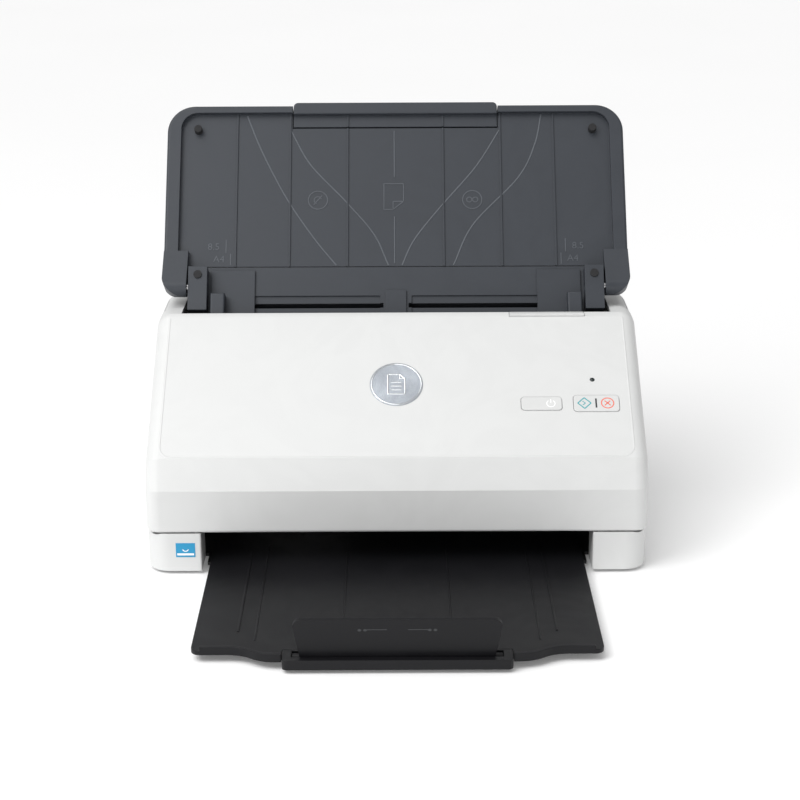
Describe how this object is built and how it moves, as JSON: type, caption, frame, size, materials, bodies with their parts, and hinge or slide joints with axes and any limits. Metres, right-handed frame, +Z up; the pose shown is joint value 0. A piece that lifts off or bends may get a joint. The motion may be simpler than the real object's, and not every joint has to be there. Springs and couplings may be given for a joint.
{
  "type": "sheet fed document scanner",
  "caption": "Desktop sheet fed scanner with a fold-down input tray, sliding paper guides, a hinged front cover, roller drive and a pull-out output tray with a paper stop.",
  "frame": {"origin": "floor level under the centre of the open machine's box", "axes": "+X to the user's right, +Y away from the user, who faces the buttons, +Z up"},
  "size_m": [0.3, 0.3342, 0.2508],
  "materials": {
    "white_plastic": "fine satin moulding",
    "base_black": "moulded",
    "blue_plastic": "fine spark-eroded grain",
    "tray_black": "fine satin moulding",
    "rubber": "soft",
    "roller_rubber": "ground",
    "pinch_plastic": "smooth",
    "steel": "turned",
    "sheet_steel": "zinc-plated",
    "motor_case": "plated can",
    "gear_plastic": "acetal",
    "sensor_plastic": "moulded",
    "sensor_glass": "polished",
    "board": "lacquered",
    "chip": "moulded",
    "socket": "moulded",
    "button_plastic": "satin",
    "status_lens": "clear dark lens",
    "badge_metal": "spun satin",
    "blue_label": "printed film"
  },
  "bodies": {
    "base": {"base_housing": "white_plastic", "bottom_cover": "base_black", "rubber_feet": "rubber", "base_screws": "steel", "blue_label": "blue_label", "rear_housing": "white_plastic", "chassis_left": "sheet_steel", "chassis_right": "sheet_steel", "shaft_bushes": "gear_plastic", "drive_motor": "motor_case", "rear_guide": "base_black", "rear_sensor": "sensor_plastic", "rear_glass": "sensor_glass", "feed_chute": "blue_plastic", "lid_hinge_pins": "steel", "chute_bumpers": "rubber", "chute_back_cover": "blue_plastic", "main_board": "board", "board_chips": "chip", "usb_port": "socket", "power_jack": "socket", "front_hinge_pins": "steel"},
    "pick_roller": {"pick_shaft": "steel", "pick_tyres": "roller_rubber", "pick_gear": "gear_plastic"},
    "feed_roller": {"feed_shaft": "steel", "feed_tyres": "roller_rubber", "feed_gear": "gear_plastic"},
    "exit_roller": {"exit_shaft": "steel", "exit_tyres": "roller_rubber", "exit_gear": "gear_plastic"},
    "upper_idler": {"upper_idler_gear": "gear_plastic"},
    "lower_idler": {"lower_idler_gear": "gear_plastic"},
    "motor_rotor": {"motor_pinion": "gear_plastic"},
    "left_guide": {"left_paper_guide": "blue_plastic"},
    "right_guide": {"right_paper_guide": "blue_plastic"},
    "guide_gear": {"guide_pinion": "gear_plastic"},
    "front_door": {"front_cover": "white_plastic", "front_guide": "base_black", "front_sensor": "sensor_plastic", "front_glass": "sensor_glass", "separation_holder": "base_black", "pinch_bearings": "base_black", "panel_board": "board", "status_light": "status_lens", "round_badge": "badge_metal"},
    "separation": {"separation_roller": "roller_rubber"},
    "feed_pinch": {"feed_pinch_rollers": "pinch_plastic"},
    "exit_pinch": {"exit_pinch_rollers": "pinch_plastic"},
    "latch": {"release_latch": "white_plastic"},
    "power_key": {"power_button": "button_plastic"},
    "scan_key": {"scan_button": "button_plastic"},
    "lid": {"input_tray_panel": "blue_plastic", "input_tray_shell": "blue_plastic", "lid_bumpers": "rubber"},
    "lid_extension": {"input_tray_extension": "blue_plastic"},
    "output_tray": {"output_tray": "tray_black"},
    "tray_extension": {"tray_extension": "tray_black"},
    "paper_stop": {"paper_stop": "tray_black"}
  },
  "joints": [
    {"name": "front_cover_hinge", "type": "hinge", "parent": "base", "child": "front_door", "pos_m": [0, -0.03007, 0.0292], "axis": [1, 0, 0], "range_deg": [0, 70]},
    {"name": "input_tray_hinge", "type": "hinge", "parent": "base", "child": "lid", "pos_m": [0, 0.08393, 0.146], "axis": [-1, 0, 0], "range_deg": [-158.5, 0]},
    {"name": "input_extension_slide", "type": "slide", "parent": "lid", "child": "lid_extension", "axis": [0, 0.5592, 0.829], "range_m": [0, 0.062]},
    {"name": "left_guide_slide", "type": "slide", "parent": "base", "child": "left_guide", "axis": [1, 0, 0], "range_m": [0, 0.076]},
    {"name": "right_guide_slide", "type": "slide", "parent": "base", "child": "right_guide", "axis": [-1, 0, 0], "range_m": [0, 0.076]},
    {"name": "guide_pinion_spin", "type": "hinge", "parent": "base", "child": "guide_gear", "pos_m": [0, 0.08605, 0.13215], "axis": [0, -0.829, 0.5592], "range_deg": [-623.07, 1]},
    {"name": "output_tray_slide", "type": "slide", "parent": "base", "child": "output_tray", "axis": [0, -1, 0], "range_m": [-0.124, 0]},
    {"name": "tray_extension_slide", "type": "slide", "parent": "output_tray", "child": "tray_extension", "axis": [0, -1, 0], "range_m": [0, 0.09]},
    {"name": "paper_stop_hinge", "type": "hinge", "parent": "tray_extension", "child": "paper_stop", "pos_m": [0, -0.15807, 0.0057], "axis": [1, 0, 0], "range_deg": [-98, 0]},
    {"name": "latch_slide", "type": "slide", "parent": "front_door", "child": "latch", "axis": [0, 0, 1], "range_m": [0, 0.0025], "stiffness_N_per_m": 300, "springref_m": -0.002},
    {"name": "power_key_press", "type": "slide", "parent": "front_door", "child": "power_key", "axis": [0, 0.5807, -0.8141], "range_m": [0, 0.0008], "stiffness_N_per_m": 600, "springref_m": -0.0008},
    {"name": "scan_key_press", "type": "slide", "parent": "front_door", "child": "scan_key", "axis": [0, 0.5807, -0.8141], "range_m": [0, 0.0008], "stiffness_N_per_m": 600, "springref_m": -0.0008},
    {"name": "feed_roller_spin", "type": "hinge", "parent": "base", "child": "feed_roller", "pos_m": [0, 0.04939, 0.08162], "axis": [1, 0, 0], "continuous": true},
    {"name": "upper_idler_spin", "type": "hinge", "parent": "base", "child": "upper_idler", "pos_m": [0, 0.06789, 0.08244], "axis": [1, 0, 0], "continuous": true},
    {"name": "pick_roller_spin", "type": "hinge", "parent": "base", "child": "pick_roller", "pos_m": [0, 0.06717, 0.09775], "axis": [1, 0, 0], "continuous": true},
    {"name": "lower_idler_spin", "type": "hinge", "parent": "base", "child": "lower_idler", "pos_m": [0, 0.03632, 0.06135], "axis": [1, 0, 0], "continuous": true},
    {"name": "exit_roller_spin", "type": "hinge", "parent": "base", "child": "exit_roller", "pos_m": [0, 0.01866, 0.05013], "axis": [1, 0, 0], "continuous": true},
    {"name": "motor_spin", "type": "hinge", "parent": "base", "child": "motor_rotor", "pos_m": [0, 0.04786, 0.04898], "axis": [1, 0, 0], "continuous": true},
    {"name": "separation_spin", "type": "hinge", "parent": "front_door", "child": "separation", "pos_m": [0, 0.05557, 0.10856], "axis": [1, 0, 0], "continuous": true},
    {"name": "feed_pinch_spin", "type": "hinge", "parent": "front_door", "child": "feed_pinch", "pos_m": [0, 0.04007, 0.09032], "axis": [1, 0, 0], "continuous": true},
    {"name": "exit_pinch_spin", "type": "hinge", "parent": "front_door", "child": "exit_pinch", "pos_m": [0, 0.01007, 0.05814], "axis": [1, 0, 0], "continuous": true}
  ],
  "couplings": [
    {"joint": "upper_idler_spin", "follows": "feed_roller_spin", "ratio": -1.875},
    {"joint": "pick_roller_spin", "follows": "feed_roller_spin", "ratio": 1.3636},
    {"joint": "lower_idler_spin", "follows": "feed_roller_spin", "ratio": -1},
    {"joint": "exit_roller_spin", "follows": "feed_roller_spin", "ratio": 1.3636},
    {"joint": "motor_spin", "follows": "feed_roller_spin", "ratio": 2.5},
    {"joint": "right_guide_slide", "follows": "left_guide_slide", "ratio": 1},
    {"joint": "guide_pinion_spin", "follows": "left_guide_slide", "rad_per_m": -142.86}
  ]
}
